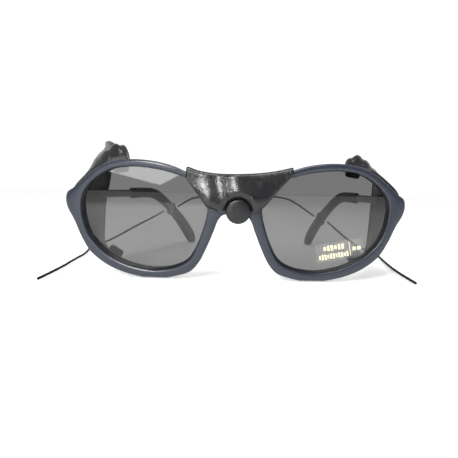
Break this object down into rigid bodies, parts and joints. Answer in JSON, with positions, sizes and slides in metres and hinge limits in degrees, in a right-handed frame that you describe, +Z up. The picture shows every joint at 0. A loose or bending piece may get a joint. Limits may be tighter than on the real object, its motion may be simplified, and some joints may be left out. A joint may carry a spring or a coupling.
{
  "type": "glacier glasses",
  "caption": "Sunglasses for glaciers: tinted lenses in a plastic front, folding temples, leather side shields, a snapped leather nose cover and a retaining cord.",
  "frame": {"origin": "on the surface the glasses stand on, at the centre of the box of the glasses without their cord", "axes": "+X to the right of someone who looks at the lenses, +Y back along the temples, +Z up"},
  "size_m": [0.1761, 0.137, 0.061],
  "materials": {
    "frame_plastic": "satin slate-grey moulded plastic",
    "ear_tip_plastic": "matte dark grey",
    "tinted_lens": "polished grey-brown tint",
    "label_film": "clear film with gold print",
    "cord": "tight woven black cord",
    "leather": "glossy black pebbled leather",
    "clip_plastic": "black moulded plastic",
    "snap_enamel": "glossy black enamel",
    "bright_metal": "plated steel"
  },
  "bodies": {
    "frame": {"front_frame": "frame_plastic", "lens_left": "tinted_lens", "lens_right": "tinted_lens", "lens_label": "label_film", "frame_hinge_leaf_left": "bright_metal", "frame_hinge_leaf_right": "bright_metal", "hinge_screw_left": "bright_metal", "hinge_screw_right": "bright_metal", "nose_cover_back": "leather", "snap_stud": "bright_metal", "snap_post": "bright_metal", "side_shield_left": "leather", "side_shield_right": "leather", "shield_clip_top_left": "clip_plastic", "shield_clip_top_right": "clip_plastic", "shield_clip_bottom_left": "clip_plastic", "shield_clip_bottom_right": "clip_plastic", "cord_middle_left": "cord", "cord_middle_right": "cord"},
    "temple_left": {"temple_arm_left": "frame_plastic", "ear_tip_left": "ear_tip_plastic", "temple_hinge_leaf_left": "bright_metal", "temple_rivet_front_left": "bright_metal", "temple_rivet_rear_left": "bright_metal", "cord_wrap_left": "cord", "cord_tail_left": "cord"},
    "temple_right": {"temple_arm_right": "frame_plastic", "ear_tip_right": "ear_tip_plastic", "temple_hinge_leaf_right": "bright_metal", "temple_rivet_front_right": "bright_metal", "temple_rivet_rear_right": "bright_metal", "cord_wrap_right": "cord", "cord_tail_right": "cord"},
    "nose_flap": {"nose_cover_front": "leather", "snap_cap": "snap_enamel", "snap_socket": "bright_metal"}
  },
  "joints": [
    {"name": "temple_fold_left", "type": "hinge", "parent": "frame", "child": "temple_left", "pos_m": [-0.0672, -0.05175, 0.0346], "axis": [0, 0, -1], "range_deg": [0, 71], "deforming": ["cord_middle_left"]},
    {"name": "temple_fold_right", "type": "hinge", "parent": "frame", "child": "temple_right", "pos_m": [0.0672, -0.05175, 0.0346], "axis": [0, 0, 1], "range_deg": [0, 58], "deforming": ["cord_middle_right"]},
    {"name": "nose_cover_fold", "type": "hinge", "parent": "frame", "child": "nose_flap", "pos_m": [0, -0.06285, 0.0482], "axis": [-1, 0, 0], "range_deg": [0, 100]}
  ]
}
